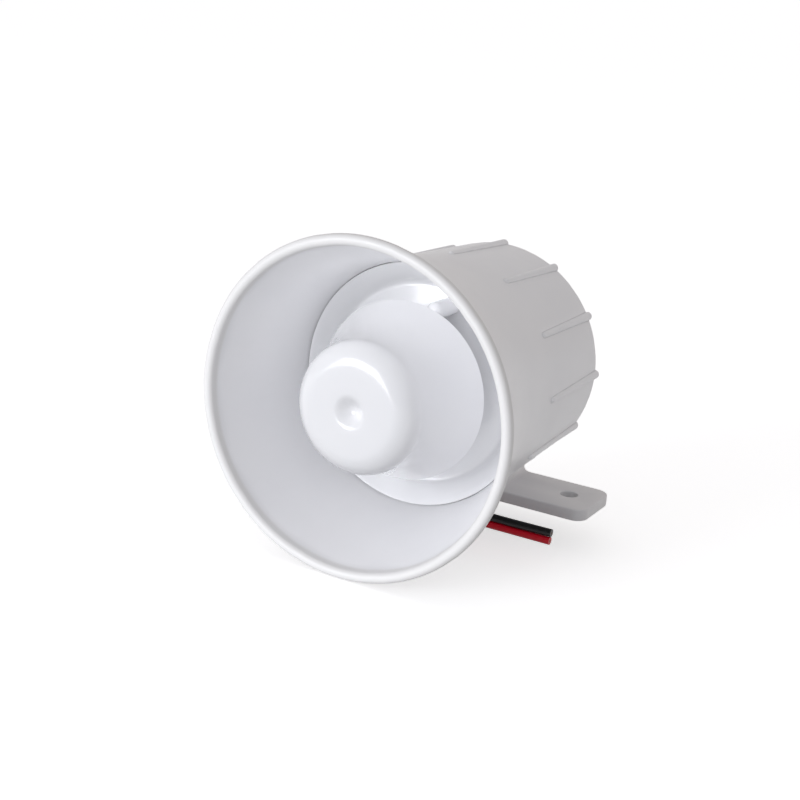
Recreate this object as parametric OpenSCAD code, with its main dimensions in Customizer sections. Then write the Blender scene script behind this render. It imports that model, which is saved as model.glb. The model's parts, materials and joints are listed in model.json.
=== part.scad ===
// Mini horn siren: flared ABS horn with a reflex bullet, ribbed barrel, screw-down foot and two leads.
// Origin: centre of the two foot screw holes, on the foot's underside. The horn's axis runs along Y,
// the mouth faces -Y and +Z is up. Millimetres. A "depth" is measured along the axis from the mouth.

/* [Horn] */
// Diameter over the rim bead
rim_d = 90; // [88:0.5:92]
// Depth from the mouth to the rear edge of the barrel
horn_depth = 84.5; // [84:0.5:86]
// Diameter of the rolled bead around the mouth
bead_d = 3; // [2.6:0.1:3.4]
// Wall thickness of the flare
wall = 2.2; // [2:0.1:2.4]
// Depth of the joint line between the flare and the throat dish
seam_depth = 34.5; // [34:0.25:35]
// Depth at which the flare has blended into the barrel
flare_depth = 55; // [52:1:58]

/* [Barrel] */
// Diameter of the barrel at its rear edge
back_d = 65.5; // [65:0.5:67]
// Growth of the barrel's radius per millimetre towards the mouth
taper = 0.04; // [0.03:0.005:0.05]
// Number of ribs around the barrel
rib_count = 12; // [8:2:16]
// Depth at which the ribs start
rib_start = 49.5; // [47:0.5:55]
// Width of a rib at the rear edge
rib_w = 2.4; // [1.8:0.1:2.6]
// Height of a rib over the barrel at the rear edge
rib_h = 1.3; // [0.9:0.1:1.4]

/* [Bullet] */
// Diameter of the bullet's cap
cap_d = 35.2; // [34:0.2:36]
// Depth of the cap's front face
cap_depth = 1; // [0.6:0.2:1.6]
// Diameter of the bell's rear edge
bell_d = 49.2; // [48:0.2:50]
// Depth of the bell's rear edge
bell_depth = 27.9; // [27:0.1:28.5]
// Angle of the first of the two legs, from +X
leg_angle = 73; // [65:1:80]

/* [Foot] */
// Height of the horn's axis over the foot's underside
axis_h = 35; // [35:0.25:36]
// Width of the foot across both ears
foot_w = 89; // [86:1:96]
// Distance between the two screw holes
hole_spacing = 71; // [68:1:72]
// Diameter of the screw holes
hole_d = 5; // [4:0.25:5.5]
// Thickness of the foot
foot_t = 3.4; // [3:0.1:3.6]
// Corner radius of the ears
foot_corner = 4; // [2:0.5:6]

/* [Driver] */
// Diameter of the ferrite ring
magnet_d = 45; // [44:0.5:46]
// Diameter of the voice coil's former
coil_d = 25.5; // [25.3:0.1:25.7]
// Travel of the diaphragm each way, for which the clearances leave room
travel = 0.4; // [0.2:0.1:0.5]

/* [Leads] */
// Outer diameter of a lead
lead_d = 2.2; // [2:0.1:2.2]

/* [Hidden] */
$fn = 96;

white_abs = "white";
eps = 0.01;

// The mouth plane and the foot in the part's own frame
mouth_y = -68;
foot_front = -11;
foot_back = 10;
web_w = 34;
web_h = 8;

// Flare and barrel
flare_rise = rim_d / 2 - 0.7 - back_d / 2 - taper * horn_depth;
bead_r = bead_d / 2;
flare_steps = 11;
edge_round = 0.6;
rim_wall = 1.5;
rib_sink = 0.004;
rib_narrowing = 0.65;
pocket_depth = 39.5;
bore_front_r = 31.6;
bore_back_r = 30.4;

// Rear opening: the cover lies on a shoulder with the seal between them
cover_r = 31;
cover_t = 2.5;
cover_recess = 0.5;
cover_chamfer = 0.3;
seal_t = 0.8;
shoulder_r = 29.7;
shoulder_w = 2;
cover_gap = 0.15;
cover_head_sink = 1.3;
cover_dish_r = 22;
cover_dish = 0.6;
cover_clear_r = 1.6;
cover_bore_r = 2.8;
cover_screw_len = 11;
cover_back = horn_depth - cover_recess;
cover_front = cover_back - cover_t;
shoulder_depth = cover_front - seal_t;

// Three screw bosses inside the barrel
cover_screw_r = 27.6;
cover_screw_angles = [90, 210, 330];
boss_d = 7;
boss_len = 14;
boss_floor = 2;
pilot_r = 1.1;
bore_skin = 0.8;

// Throat dish
dish_gap = 0.15;
dish_lip_r = 33.25;
dish_wall_angle = 45;
dish_cone_angle = 12.5;
dish_round = 2.5;
dish_drop = 5.5;
dish_rim_t = 3;
seat_edge = 4;
tube_base_r = 10.5;
tube_tip_r = 8.6;
tube_tip_depth = 12;
throat_r = 5;
throat_tip_r = 6.8;
seat_depth = 48;
seat_r = 28.3;
ring_out_r = 19;
ring_in_r = 16.4;
ring_t = 1.4;
dish_back_r = 31.2;
dish_rim_back = pocket_depth - seal_t;
dish_start = seam_depth + 0.2;
dish_round_at = seam_depth + dish_drop - dish_round;
dish_wall_end = dish_round_at + dish_round * cos(dish_wall_angle);
dish_round_r = dish_lip_r - (dish_wall_end - dish_start) / tan(dish_wall_angle)
    - dish_round * sin(dish_wall_angle);
dish_cone_r = dish_round_r - dish_round * sin(dish_cone_angle);
dish_cone_end = dish_round_at + dish_round * cos(dish_cone_angle);

// Bullet and its legs
cap_round = 6;
bullet_wall = 1.8;
bell_bend = 1.7;
bell_steps = 9;
dimple_r = 4.8;
dimple_depth = 2.4;
leg_d = 5;
leg_r = 24.4;
leg_end = 38.7;
leg_pad_d = 5.8;
leg_pad_back = 45.5;
leg_clear_r = 1.3;
leg_bore_r = 2.6;
leg_root = 6;
leg_hole_r = 1;
leg_hole_len = 8;
leg_angles = [leg_angle, leg_angle + 180];
bullet_screw_head_depth = 45.8;
bullet_screw_len = 12;

// Driver
diaphragm_t = 0.35;
dome_h = 1.2;
roll_h = 0.55;
dome_steps = 8;
roll_steps = 8;
chamber_depth = seat_depth - dome_h - travel - 0.8;
plate_t = 3;
plate_front = seat_depth + diaphragm_t + travel + 0.45;
frame_back = plate_front + plate_t;
frame_t = frame_back - seat_depth;
driver_screw_r = 25.3;
driver_screw_angles = [for (i = [0:3]) leg_angle + 45 + 90 * i];
driver_pilot_len = 3.6;
driver_pilot_r = 0.9;
driver_clear_r = 1.2;
plate_r = 22;
gap_out_r = 14.1;
magnet_t = 8;
magnet_hole_r = 15.5;
magnet_back = frame_back + magnet_t;
yoke_t = 3;
pole_r = 12.2;
former_wall = 0.3;
former_len = 6.4;
winding_t = 0.6;
winding_front = 49;
winding_len = 4;
diaphragm_r = ring_in_r - 0.4;

strip_w = 9;
strip_z = axis_h + 23.1;
strip_h = 4.6;
strip_t = 1;
tag_w = 1.8;
tag_h = 2.8;
tag_t = 0.4;

// Circuit board, on posts of the rear cover
board_r = 22;
board_front = 69;
board_t = 1.6;
board_back = board_front + board_t;
post_r = 17.5;
post_d = 5;
post_pilot_r = 1;
post_pilot_len = 7;
board_hole_r = 1.3;
board_head_r = 2;
board_head_h = 1.4;
chip_x = -9;
chip_w = 6.3;
chip_h = 9.4;
chip_pitch = 2.3;
transistor_xs = [0, 8.6];
transistor_z = 9;
capacitor_x = 5;
capacitor_z = -12;
capacitor_d = 8;
capacitor_h = 9;
resistor_r = 1.15;
resistor_len = 6.3;
diode_r = 1.3;
diode_len = 5;
post_angles = [90, 210, 330];

// Cable outlet under the barrel: a hollow box whose +X wall holds the grommet
outlet_y = -21.2;
outlet_len = 8.6;
outlet_right = 8;
outlet_left = -7;
outlet_bottom = -7;
outlet_floor = -5.6;
outlet_cavity_h = 15;
outlet_top = 6;
outlet_wall = 2;
grommet_outer_r = 2.3;
grommet_inner_r = 2.1;
grommet_neck_r = 1.8;
grommet_flange = 1;
lead_gap = 0.05;
lead_r = lead_d / 2;
black_z = -1;
red_z = black_z - lead_d - lead_gap;
tie_x = 1.6;
tie_w = 1.6;
tie_t = 0.9;
sides = 8;

// Routes of the leads, as [x, y, z] from the grommet's inner face to the cut end
lead_route_black = [
    [4, -21.2, -1], [8, -21.2, -1], [12, -21.2, -1], [16, -21.2, -1], [20, -21.2, -1], [24, -21.2, -1],
    [28, -21.2, -1], [32, -21.1, -1], [36, -21.0, -1], [39.8, -20.9, -1]
];
lead_route_red = [
    [4, -21.2, -3.25], [8, -21.2, -3.25], [12, -21.2, -3.25], [16, -21.2, -3.25], [20, -21.2, -3.25],
    [24, -21.2, -3.25], [28, -21.2, -3.25], [32, -21.2, -3.25], [36, -21.2, -3.25], [39.7, -21.2, -3.25]
];
// Routes inside the housing, from the grommet's inner face up and back to the board
board_route_black = [
    [4, -21.2, -1], [1.2, -21.2, -1], [0.2, -21.2, -0.2], [0, -21.2, 2.2], [0, -20.6, 4.4],
    [0, -19, 5.1], [0.3, -16.5, 5.2], [0.8, -12, 5.6], [1.5, -7, 6.5], [3, -4, 9.5],
    [4.5, -1.8, 14], [5.5, -1, 16.8], [5.5, 1, 16.8]
];
board_route_red = [
    [4, -21.2, -3.25], [-1.2, -21.2, -3.25], [-2.4, -21.2, -2.4], [-2.7, -21.2, 0], [-2.7, -21.2, 2.5],
    [-2.7, -20.6, 4.4], [-2.6, -19, 5.1], [-2.4, -16.5, 5.2], [-2.4, -12, 5.6], [-2.4, -7, 6.5],
    [-3, -4, 9.5], [-4.5, -1.8, 14], [-5.5, -1, 16.8], [-5.5, 1, 16.8]
];
coil_wire_r = 0.6;
coil_wire_x = 2.6;
coil_wire_route = [
    [0, -14.4, 60.4], [0, -12.8, 60.9], [0, -9, 61], [0, -5.4, 60], [0, -3.4, 57], [0, -2.4, 53.5],
    [0, -1, 50.5], [0, 1, 50.5]
];

// Outer radius of the shell at a depth
function outer_r(d) = back_d / 2 + taper * (horn_depth - d)
    + flare_rise * pow(max(0, 1 - d / flare_depth), 2);
// Inner radius of the flare; the wall grows from the bead to the joint line
function inner_r(d) = outer_r(d) - rim_wall - (wall - rim_wall) * d / seam_depth;
pocket_r = inner_r(seam_depth);
dish_r = pocket_r - dish_gap;
// Round bottom of the dish, between its outer wall and the shallow cone that rises to the throat tube
function dish_point(a) = [dish_round_r + dish_round * cos(a), dish_round_at + dish_round * sin(a)];
// Outer radius of the bell, from the cap back to its rear edge
function bell_r(t) = cap_d / 2 + (bell_d - cap_d) / 2 * pow(t, bell_bend);
function bell_at(t) = cap_depth + cap_round + t * (bell_depth - cap_depth - cap_round);
// Height of the diaphragm over its edge at a radius: a dome, then a half roll
function dome_at(r) = dome_h * (1 - pow(2 * r / coil_d, 2));
function roll_at(r) = roll_h * sin(180 * (r - coil_d / 2) / (diaphragm_r - coil_d / 2));

// Turns a shape drawn around Z, with Z as the depth, into place around the horn's axis
module on_axis() { translate([0, mouth_y, axis_h]) rotate([-90, 0, 0]) children(); }

// Revolves an outline of [radius, depth] points around the horn's axis
module turned(points) { on_axis() rotate_extrude() polygon(points); }

// A straight ring or disc around the horn's axis
module ring(r_out, r_in, front, back) {
    on_axis() translate([0, 0, front]) difference() {
        cylinder(r = r_out, h = back - front);
        if (r_in > 0) translate([0, 0, -1]) cylinder(r = r_in, h = back - front + 2);
    }
}

// A round pin or hole parallel to the axis, at a radius and an angle from +X
module pin_at(radius, angle, r, front, back) {
    on_axis() rotate([0, 0, -angle]) translate([radius, 0, front]) cylinder(r = r, h = back - front);
}

// Pan-head screw along the axis: the shank runs from the head's seat towards the mouth
module axis_screw(radius, angle, shank_r, length, seat, head_r, head_h) {
    difference() {
        union() {
            pin_at(radius, angle, shank_r, seat - length, seat + eps);
            pin_at(radius, angle, head_r, seat, seat + head_h);
        }
        cross_slot(radius, angle, head_r, seat + head_h);
    }
}

// Cross recess in a screw's head
module cross_slot(radius, angle, head_r, top) {
    on_axis() rotate([0, 0, -angle]) translate([radius, 0, top]) {
        cube([head_r, 0.5, 1.2], center = true);
        cube([0.5, head_r, 1.2], center = true);
    }
}

// Tube swept along a route: the rings stand square to the route's own direction, and each ring's
// first corner is carried on from the ring before it, so that the skin never twists
function unit(v) = v / norm(v);
function heading(p, i) = unit(p[min(i + 1, len(p) - 1)] - p[max(i - 1, 0)]);
function square_to(u, t) = unit(u - (u * t) * t);
module swept(route, r, first_side) {
    n = len(route);
    ring_sides = [
        for (i = 0, u = square_to(first_side, heading(route, 0)); i < n;
             i = i + 1, u = i < n ? square_to(u, heading(route, i)) : u) u
    ];
    points = [
        for (i = [0:n - 1])
            let (u = ring_sides[i], v = cross(heading(route, i), u))
            for (k = [0:sides - 1])
                route[i] + r * cos(360 * k / sides) * u + r * sin(360 * k / sides) * v
    ];
    skin = [
        for (i = [0:n - 2])
            for (k = [0:sides - 1])
                let (a = i * sides + k, b = i * sides + (k + 1) % sides)
                [b, a, a + sides, b + sides]
    ];
    first = [for (k = [0:sides - 1]) k];
    last = [for (k = [sides - 1:-1:0]) (n - 1) * sides + k];
    polyhedron(points, concat(skin, [first, last]), convexity = 4);
}

// Upright slot shape that takes both leads, one above the other, drawn along X
module lead_slot(r, left, right) {
    for (z = [black_z, red_z])
        translate([left, outlet_y, z]) rotate([0, 90, 0]) cylinder(r = r, h = right - left);
    translate([left, outlet_y - r, red_z]) cube([right - left, 2 * r, black_z - red_z]);
}

module shell_profile() {
    flare_out = [for (i = [0:flare_steps]) let (d = bead_r + i * (flare_depth - bead_r) / flare_steps)
        [outer_r(d), d]];
    flare_in = [for (i = [flare_steps:-1:0]) let (d = bead_r + i * (seam_depth - bead_r) / flare_steps)
        [inner_r(d), d]];
    polygon(concat(
        flare_out,
        [
            [outer_r(horn_depth - edge_round), horn_depth - edge_round],
            [outer_r(horn_depth) - edge_round, horn_depth],
            [cover_r + cover_gap, horn_depth],
            [cover_r + cover_gap, shoulder_depth],
            [shoulder_r, shoulder_depth],
            [shoulder_r, shoulder_depth - shoulder_w],
            [bore_back_r, shoulder_depth - shoulder_w - 1],
            [bore_front_r, pocket_depth],
            [pocket_r, pocket_depth]
        ],
        flare_in
    ));
}

// Round-backed ribs that follow the barrel's taper and grow lower and narrower towards their front ends
module ribs() {
    rib_r = rib_w / 2;
    for (i = [0:rib_count - 1])
        on_axis() rotate([0, 0, i * 360 / rib_count])
            translate([back_d / 2 + rib_h - rib_r, 0, horn_depth])
                rotate([0, 180 - atan(taper - rib_sink), 0])
                    cylinder(r1 = rib_r, r2 = rib_r * rib_narrowing, h = horn_depth - rib_start);
}

// Foot plate with rounded ears and the web that joins it to the barrel
module foot() {
    ear_x = foot_w / 2 - foot_corner;
    mid_y = (foot_front + foot_back) / 2;
    for (x = [-ear_x, ear_x])
        for (y = [foot_front + foot_corner, foot_back - foot_corner])
            translate([x, y, 0]) cylinder(r = foot_corner, h = foot_t);
    translate([-ear_x, foot_front, 0]) cube([2 * ear_x, foot_back - foot_front, foot_t]);
    translate([-foot_w / 2, foot_front + foot_corner, 0])
        cube([foot_w, foot_back - foot_front - 2 * foot_corner, foot_t]);
    translate([-web_w / 2, foot_front, 0]) cube([web_w, foot_back - foot_front, web_h]);
}

module horn_shell() {
    color(white_abs) difference() {
        union() {
            on_axis() rotate_extrude() {
                shell_profile();
                translate([rim_d / 2 - bead_r, bead_r]) circle(r = bead_r);
            }
            difference() {
                union() {
                    ribs();
                    foot();
                    translate([outlet_left, outlet_y - outlet_len / 2, outlet_bottom])
                        cube([outlet_right - outlet_left, outlet_len, outlet_top - outlet_bottom]);
                }
                // Keeps the barrel's bore clear
                ring(bore_front_r + bore_skin, 0, 0, horn_depth + 1);
            }
            for (a = cover_screw_angles)
                pin_at(cover_screw_r, a, boss_d / 2, shoulder_depth - boss_len, shoulder_depth);
        }
        for (x = [-hole_spacing / 2, hole_spacing / 2])
            translate([x, 0, -1]) cylinder(r = hole_d / 2, h = foot_t + 2);
        for (a = cover_screw_angles)
            pin_at(cover_screw_r, a, pilot_r, shoulder_depth - boss_len + boss_floor, shoulder_depth + 1);
        // Inside of the cable outlet, open to the barrel, and the grommet's slot
        translate([outlet_left + outlet_wall, outlet_y - outlet_len / 2 + outlet_wall, outlet_floor])
            cube([outlet_right - outlet_left - 2 * outlet_wall, outlet_len - 2 * outlet_wall,
                  outlet_cavity_h]);
        lead_slot(grommet_neck_r, outlet_right - outlet_wall - 1, outlet_right + 1);
    }
}

module throat_dish() {
    bottom_turn = dish_wall_angle + dish_cone_angle;
    front = [for (s = [0:0.2:1]) dish_point(90 - dish_wall_angle + bottom_turn * s)];
    color("whitesmoke") difference() {
        union() {
            turned(concat(
                [[dish_r, dish_start], [dish_lip_r, dish_start]],
                front,
                [
                    [tube_base_r, dish_cone_end - (dish_cone_r - tube_base_r) * tan(dish_cone_angle)],
                    [tube_tip_r, tube_tip_depth], [throat_tip_r, tube_tip_depth],
                    [throat_r, chamber_depth], [ring_in_r, chamber_depth],
                    [ring_in_r, seat_depth - ring_t], [ring_out_r, seat_depth - ring_t],
                    [ring_out_r, seat_depth], [seat_r, seat_depth], [seat_r, seat_depth - seat_edge],
                    [dish_back_r, dish_rim_back + dish_rim_t], [dish_back_r, dish_rim_back],
                    [dish_r, dish_rim_back]
                ]
            ));
            for (a = leg_angles) pin_at(leg_r, a, leg_pad_d / 2, leg_end, leg_pad_back);
        }
        for (a = leg_angles) {
            pin_at(leg_r, a, leg_clear_r, leg_end - 1, seat_depth + 1);
            pin_at(leg_r, a, leg_bore_r, bullet_screw_head_depth, seat_depth + 1);
        }
        for (a = driver_screw_angles)
            pin_at(driver_screw_r, a, driver_pilot_r, seat_depth - driver_pilot_len, seat_depth + 1);
    }
}

module dish_seal() {
    color("dimgray") ring(dish_r, bore_front_r + 0.2, dish_rim_back, pocket_depth);
}

module horn_bullet() {
    cap_r = cap_d / 2;
    flat_r = cap_r - cap_round;
    arc = [for (a = [0:15:90]) [flat_r + cap_round * sin(a), cap_depth + cap_round * (1 - cos(a))]];
    bell_out = [for (i = [1:bell_steps]) let (t = i / bell_steps) [bell_r(t), bell_at(t)]];
    bell_in = [for (i = [bell_steps:-1:1]) let (t = i / bell_steps) [bell_r(t) - bullet_wall, bell_at(t)]];
    arc_in = [for (a = [90:-15:0]) [flat_r + (cap_round - bullet_wall) * sin(a),
        cap_depth + cap_round - (cap_round - bullet_wall) * cos(a)]];
    dimple_out = [for (s = [0:0.125:1])
        [dimple_r * s, cap_depth + dimple_depth * (1 + cos(180 * s)) / 2]];
    dimple_floor = cap_depth + dimple_depth + bullet_wall;
    color("white") difference() {
        union() {
            turned(concat(dimple_out, arc, bell_out, bell_in, arc_in,
                [[dimple_r + bullet_wall, cap_depth + bullet_wall], [dimple_r, dimple_floor],
                 [0, dimple_floor]]));
            intersection() {
                for (a = leg_angles) pin_at(leg_r, a, leg_d / 2, bell_depth - leg_root, leg_end);
                union() {
                    ring(leg_r + leg_d, 0, bell_depth - 0.6, leg_end);
                    ring(bell_d / 2 - bullet_wall - 0.4, 0, bell_depth - leg_root, bell_depth);
                }
            }
        }
        for (a = leg_angles) pin_at(leg_r, a, leg_hole_r, leg_end - leg_hole_len, leg_end + 1);
    }
}

module bullet_screws() {
    color("silver") for (a = leg_angles)
        axis_screw(leg_r, a, leg_hole_r, bullet_screw_len, bullet_screw_head_depth, 2.2, 1.6);
}

module driver_frame() {
    color("dimgray") difference() {
        ring(seat_r, plate_r, seat_depth, frame_back);
        for (a = driver_screw_angles)
            pin_at(driver_screw_r, a, driver_clear_r, seat_depth - 1, frame_back + 1);
    }
}

module diaphragm_ring() {
    color("darkgoldenrod") ring(ring_out_r - 0.05, ring_in_r, seat_depth - ring_t, seat_depth);
    color("darkgoldenrod") ring(plate_r, ring_in_r, seat_depth, plate_front);
}

module diaphragm() {
    coil_r = coil_d / 2;
    dome = [for (i = [0:dome_steps]) i * coil_r / dome_steps];
    roll = [for (i = [1:roll_steps]) coil_r + i * (diaphragm_r - coil_r) / roll_steps];
    front = concat(
        [for (r = dome) [r, seat_depth - dome_at(r)]],
        [for (r = roll) [r, seat_depth - roll_at(r)]]
    );
    n = len(front);
    back = [for (i = [n - 1:-1:0]) front[i] + [0, diaphragm_t]];
    color("peru") turned(concat(front, back));
}

module coil_former() {
    color("goldenrod")
        ring(coil_d / 2 + former_wall / 2, coil_d / 2 - former_wall / 2, seat_depth + diaphragm_t,
             seat_depth + former_len);
}

module voice_coil() {
    coil_in = coil_d / 2 + former_wall / 2;
    color("darkorange") ring(coil_in + winding_t, coil_in, winding_front, winding_front + winding_len);
}

module top_plate() { color("silver") ring(plate_r, gap_out_r, plate_front, frame_back); }

module magnet() { color("dimgray") ring(magnet_d / 2, magnet_hole_r, frame_back, magnet_back); }

module yoke() {
    color("silver") union() {
        ring(plate_r, 0, magnet_back, magnet_back + yoke_t);
        ring(pole_r, 0, plate_front + 0.4, magnet_back + eps);
    }
}

module driver_screws() {
    color("silver") for (a = driver_screw_angles)
        axis_screw(driver_screw_r, a, driver_pilot_r, frame_t + driver_pilot_len - 0.3, frame_back, 2, 1.4);
}

// Strip of insulating board on the back of the driver frame, over the magnet
module terminal_strip() {
    color("saddlebrown")
        translate([-strip_w / 2, mouth_y + frame_back, strip_z]) cube([strip_w, strip_t, strip_h]);
}

module solder_tags() {
    color("gold") for (x = [-coil_wire_x, coil_wire_x])
        translate([x - tag_w / 2, mouth_y + frame_back + strip_t, strip_z + (strip_h - tag_h) / 2])
            cube([tag_w, tag_t, tag_h]);
}

module coil_wires() {
    color("gold") for (s = [-1, 1])
        swept([for (p = coil_wire_route) p + [s * coil_wire_x, 0, 0]], coil_wire_r, [1, 0, 0]);
}

module circuit_board() {
    color("seagreen") difference() {
        ring(board_r, 0, board_front, board_back);
        for (a = post_angles) pin_at(post_r, a, board_hole_r, board_front - 1, board_back + 1);
    }
}

// A box lying on the back of the board: centre from the axis, size along X and Z, thickness along Y
module on_board(x, z, w, h, lift, t) {
    translate([x - w / 2, mouth_y + board_back + lift, axis_h + z - h / 2]) cube([w, t, h]);
}

module siren_chip() {
    color("dimgray") union() {
        on_board(chip_x, 0, chip_w, chip_h, 0.5, 3.2);
        for (s = [-1, 1])
            for (i = [-1.5:1:1.5])
                on_board(chip_x + s * (chip_w / 2 + 0.45), i * chip_pitch, 1.2, 0.6, 0, 2);
    }
}

module power_transistors() {
    color("dimgray") for (x = transistor_xs) {
        on_board(x, transistor_z, 7.8, 10.8, 0.4, 2.7);
        for (i = [-1:1]) on_board(x + i * 2.3, transistor_z - 7.6, 0.8, 5.2, 0, 1);
    }
}

module capacitor() {
    color("midnightblue") on_axis() translate([capacitor_x, -capacitor_z, board_back])
        cylinder(r = capacitor_d / 2, h = capacitor_h);
}

// Axial part with bent leads, lying along X on the board
module axial_part(x, z, r, length) {
    translate([x - length / 2, mouth_y + board_back + r + 0.2, axis_h + z]) rotate([0, 90, 0])
        cylinder(r = r, h = length);
    for (s = [-1, 1]) {
        on_board(x + s * (length / 2 + 0.6), z, 1.4, 0.6, r - 0.1, 0.6);
        on_board(x + s * (length / 2 + 1), z, 0.6, 0.6, 0, r + 0.5);
    }
}

module resistors() {
    color("tan") for (i = [0:2]) axial_part(-6, -8.4 - 3.6 * i, resistor_r, resistor_len);
    color("tan") axial_part(-9, 10.5, resistor_r, resistor_len);
}

module diode() { color("dimgray") axial_part(capacitor_x + 2, -4.6, diode_r, diode_len); }

module board_screws() {
    color("silver") for (a = post_angles) difference() {
        union() {
            pin_at(post_r, a, post_pilot_r, board_front - eps, board_back + post_pilot_len - 2);
            pin_at(post_r, a, board_head_r, board_front - board_head_h, board_front);
        }
        cross_slot(post_r, a, board_head_r, board_front - board_head_h);
    }
}

module rear_cover() {
    color(white_abs) difference() {
        union() {
            turned([
                [0, cover_front], [cover_r, cover_front], [cover_r, cover_back - cover_chamfer],
                [cover_r - cover_chamfer, cover_back],
                [cover_dish_r + cover_dish, cover_back],
                [cover_dish_r, cover_back - cover_dish],
                [0, cover_back - cover_dish]
            ]);
            for (a = post_angles) pin_at(post_r, a, post_d / 2, board_back, cover_front + eps);
        }
        for (a = cover_screw_angles) {
            pin_at(cover_screw_r, a, cover_clear_r, cover_front - 1, horn_depth + 1);
            pin_at(cover_screw_r, a, cover_bore_r, cover_back - cover_head_sink, horn_depth + 1);
        }
        for (a = post_angles) pin_at(post_r, a, post_pilot_r, board_back - 1, board_back + post_pilot_len);
    }
}

module cover_seal() {
    color("dimgray") ring(cover_r, shoulder_r, shoulder_depth, cover_front);
}

module cover_screws() {
    color("silver") for (a = cover_screw_angles)
        axis_screw(cover_screw_r, a, pilot_r, cover_screw_len, cover_back - cover_head_sink,
                   2.5, 1.6);
}

module lead_grommet() {
    color("black") difference() {
        union() {
            lead_slot(grommet_neck_r, outlet_right - outlet_wall - eps, outlet_right + eps);
            lead_slot(grommet_outer_r, outlet_right, outlet_right + grommet_flange);
            lead_slot(grommet_inner_r, outlet_right - outlet_wall - grommet_flange,
                      outlet_right - outlet_wall);
        }
        for (z = [black_z, red_z])
            translate([0, outlet_y, z]) rotate([0, 90, 0]) cylinder(r = lead_r, h = 20);
    }
}

module lead_tie() {
    color("white") difference() {
        lead_slot(lead_r + tie_t, tie_x, tie_x + tie_w);
        lead_slot(lead_r, tie_x - 1, tie_x + tie_w + 1);
    }
}

module board_lead_black() { color("black") swept(board_route_black, lead_r, [0, 1, 0]); }

module board_lead_red() { color("red") swept(board_route_red, lead_r, [0, 1, 0]); }

module lead_black() { color("black") swept(lead_route_black, lead_r, [0, 0, 1]); }

module lead_red() { color("red") swept(lead_route_red, lead_r, [0, 0, 1]); }

horn_shell();
throat_dish();
dish_seal();
horn_bullet();
bullet_screws();
driver_frame();
diaphragm_ring();
diaphragm();
coil_former();
voice_coil();
top_plate();
magnet();
yoke();
driver_screws();
terminal_strip();
solder_tags();
coil_wires();
circuit_board();
siren_chip();
power_transistors();
capacitor();
resistors();
diode();
board_screws();
rear_cover();
cover_seal();
cover_screws();
lead_grommet();
lead_tie();
board_lead_black();
board_lead_red();
lead_black();
lead_red();
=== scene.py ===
"""Looks of the mini horn siren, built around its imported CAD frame.

Lengths in the script are millimetres and become metres where a mesh is made. A point on the horn is
given as [radius, depth]: the radius from the horn's axis and the depth behind the mouth.
"""
import json
from math import cos, pi, radians, sin, sqrt, tan

import bmesh
import bpy
import numpy as np
from mathutils import Matrix, Vector
from mathutils.geometry import tessellate_polygon


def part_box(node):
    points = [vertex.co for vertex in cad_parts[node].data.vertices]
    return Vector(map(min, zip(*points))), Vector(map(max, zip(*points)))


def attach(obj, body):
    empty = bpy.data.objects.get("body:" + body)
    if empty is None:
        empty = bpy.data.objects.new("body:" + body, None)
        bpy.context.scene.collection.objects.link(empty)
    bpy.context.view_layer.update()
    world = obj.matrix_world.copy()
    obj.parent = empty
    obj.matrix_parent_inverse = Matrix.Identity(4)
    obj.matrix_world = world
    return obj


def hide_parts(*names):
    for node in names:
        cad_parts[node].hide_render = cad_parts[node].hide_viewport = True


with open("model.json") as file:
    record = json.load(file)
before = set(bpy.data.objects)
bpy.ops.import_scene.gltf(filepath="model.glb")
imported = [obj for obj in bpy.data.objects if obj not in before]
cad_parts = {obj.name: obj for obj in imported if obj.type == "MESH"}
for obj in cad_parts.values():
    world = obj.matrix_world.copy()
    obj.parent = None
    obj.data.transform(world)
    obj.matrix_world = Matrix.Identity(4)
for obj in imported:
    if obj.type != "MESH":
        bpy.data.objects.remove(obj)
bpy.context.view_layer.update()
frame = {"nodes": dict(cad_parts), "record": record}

MM = 0.001
FIXED = "siren"

# Where the horn is in the frame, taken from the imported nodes
SHELL_LOW, SHELL_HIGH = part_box("horn_shell")
RIM_R = (SHELL_HIGH.z - SHELL_LOW.z) / 2 / MM
AXIS_Z = (SHELL_HIGH.z + SHELL_LOW.z) / 2 / MM
MOUTH_Y = SHELL_LOW.y / MM
DEPTH = (SHELL_HIGH.y - SHELL_LOW.y) / MM


# ---------------------------------------------------------------- camera and cords

CAMERA_AT = Vector((178.9, -380.8, 147.0))
CAMERA_AZIMUTH = radians(27.72)
CAMERA_ELEVATION = radians(16.59)
CAMERA_ROLL = radians(5.09)
CAMERA_LENS = 67.8


def make_camera():
    """The camera that was fitted to the photo."""
    forward = Vector((-sin(CAMERA_AZIMUTH) * cos(CAMERA_ELEVATION),
                      cos(CAMERA_AZIMUTH) * cos(CAMERA_ELEVATION), -sin(CAMERA_ELEVATION)))
    level = Vector((cos(CAMERA_AZIMUTH), sin(CAMERA_AZIMUTH), 0))
    upright = level.cross(forward)
    right = level * cos(CAMERA_ROLL) + upright * sin(CAMERA_ROLL)
    up = upright * cos(CAMERA_ROLL) - level * sin(CAMERA_ROLL)
    camera = bpy.data.objects.new("camera", bpy.data.cameras.new("camera"))
    camera.data.lens = CAMERA_LENS
    camera.data.sensor_width = 36
    camera.data.clip_start = 0.01
    camera.data.clip_end = 100
    turn = Matrix((right, up, -forward)).transposed().to_4x4()
    camera.matrix_world = Matrix.Translation(CAMERA_AT * MM) @ turn
    bpy.context.scene.collection.objects.link(camera)
    bpy.context.scene.camera = camera


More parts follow.
